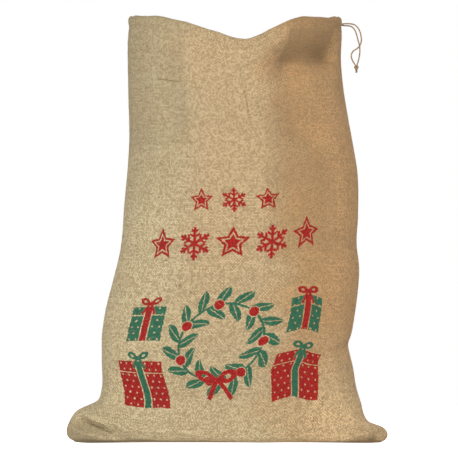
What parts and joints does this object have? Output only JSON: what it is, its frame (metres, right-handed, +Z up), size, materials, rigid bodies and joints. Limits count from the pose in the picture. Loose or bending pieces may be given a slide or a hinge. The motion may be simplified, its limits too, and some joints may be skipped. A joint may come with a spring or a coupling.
{
  "type": "burlap sack",
  "caption": "Open-topped drawstring sack of woven burlap, stood upright, with a turned-in casing round the mouth and a knotted twine cord at the side seam.",
  "frame": {"origin": "centre of the standing sack's footprint, on the floor", "axes": "+Z up through the mouth, +X towards the side seam that the cord leaves, -Y out of the printed front panel"},
  "size_m": [0.4623, 0.3104, 0.6247],
  "materials": {
    "burlap": "matte plain weave of jute, printed on the front panel",
    "twine": "matte twisted jute"
  },
  "bodies": {
    "root": {"front_panel": "burlap", "back_panel": "burlap", "drawcord_casing": "twine", "drawcord_front_end": "twine", "drawcord_back_end": "twine", "drawcord_knot": "twine"}
  },
  "joints": []
}
